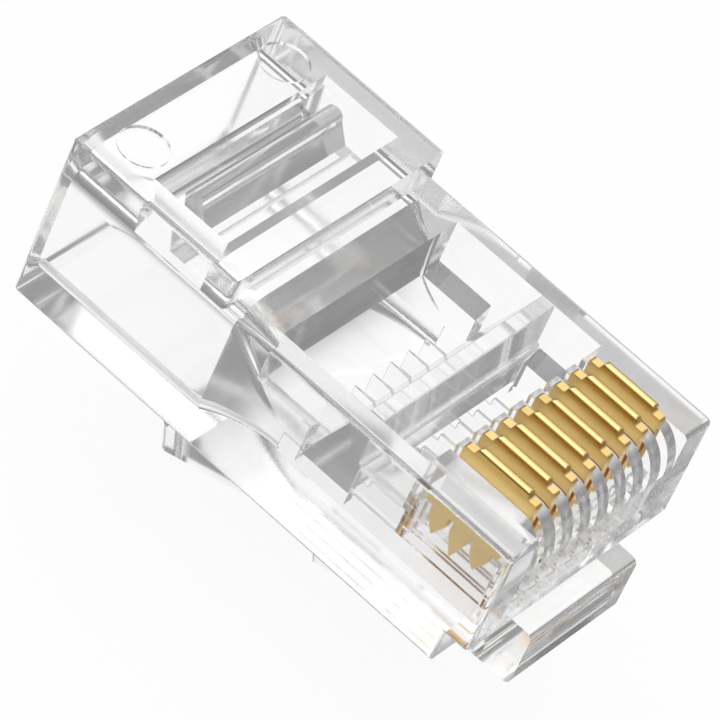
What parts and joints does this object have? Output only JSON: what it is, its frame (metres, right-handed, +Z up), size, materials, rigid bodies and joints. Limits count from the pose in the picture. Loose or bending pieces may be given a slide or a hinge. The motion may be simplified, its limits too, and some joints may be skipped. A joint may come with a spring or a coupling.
{
  "type": "rj45 modular plug",
  "caption": "Clear modular network plug before crimping: gold contact blades in nose slots, wire channels, strain-relief bars, open cable cavity and a flexing latch.",
  "frame": {"origin": "the plug's datum, on the centre plane, where the plane of the nose meets the plane of the body's underside", "axes": "+Y from the nose to the cable end, +Z up to the side that carries the contacts, +X across the contacts"},
  "size_m": [0.0116, 0.0225, 0.0136],
  "materials": {
    "clear_plastic": "clear polished",
    "gold_plate": "bright gold plate"
  },
  "bodies": {
    "housing": {"housing": "clear_plastic"},
    "latch": {"latch": "clear_plastic"},
    "conductor_bar": {"conductor_bar": "clear_plastic"},
    "jacket_bar": {"jacket_bar": "clear_plastic"},
    "contact_1": {"contact_1": "gold_plate"},
    "contact_2": {"contact_2": "gold_plate"},
    "contact_3": {"contact_3": "gold_plate"},
    "contact_4": {"contact_4": "gold_plate"},
    "contact_5": {"contact_5": "gold_plate"},
    "contact_6": {"contact_6": "gold_plate"},
    "contact_7": {"contact_7": "gold_plate"},
    "contact_8": {"contact_8": "gold_plate"}
  },
  "joints": [
    {"name": "latch_flex", "type": "hinge", "parent": "housing", "child": "latch", "pos_m": [0, 0.0011, -0.00065], "axis": [1, 0, 0], "range_deg": [0, 17], "stiffness_Nm_per_rad": 0.05},
    {"name": "jacket_bar_swing", "type": "hinge", "parent": "housing", "child": "jacket_bar", "pos_m": [0, 0.01535, 0.00645], "axis": [-1, 0, 0], "range_deg": [0, 30]},
    {"name": "conductor_bar_press", "type": "slide", "parent": "housing", "child": "conductor_bar", "axis": [0, 0, -1], "range_m": [0, 0.0005]},
    {"name": "contact_1_press", "type": "slide", "parent": "housing", "child": "contact_1", "axis": [0, 0, -1], "range_m": [0, 0.00138]},
    {"name": "contact_2_press", "type": "slide", "parent": "housing", "child": "contact_2", "axis": [0, 0, -1], "range_m": [0, 0.00138]},
    {"name": "contact_3_press", "type": "slide", "parent": "housing", "child": "contact_3", "axis": [0, 0, -1], "range_m": [0, 0.00138]},
    {"name": "contact_4_press", "type": "slide", "parent": "housing", "child": "contact_4", "axis": [0, 0, -1], "range_m": [0, 0.00138]},
    {"name": "contact_5_press", "type": "slide", "parent": "housing", "child": "contact_5", "axis": [0, 0, -1], "range_m": [0, 0.00138]},
    {"name": "contact_6_press", "type": "slide", "parent": "housing", "child": "contact_6", "axis": [0, 0, -1], "range_m": [0, 0.00138]},
    {"name": "contact_7_press", "type": "slide", "parent": "housing", "child": "contact_7", "axis": [0, 0, -1], "range_m": [0, 0.00138]},
    {"name": "contact_8_press", "type": "slide", "parent": "housing", "child": "contact_8", "axis": [0, 0, -1], "range_m": [0, 0.00138]}
  ]
}
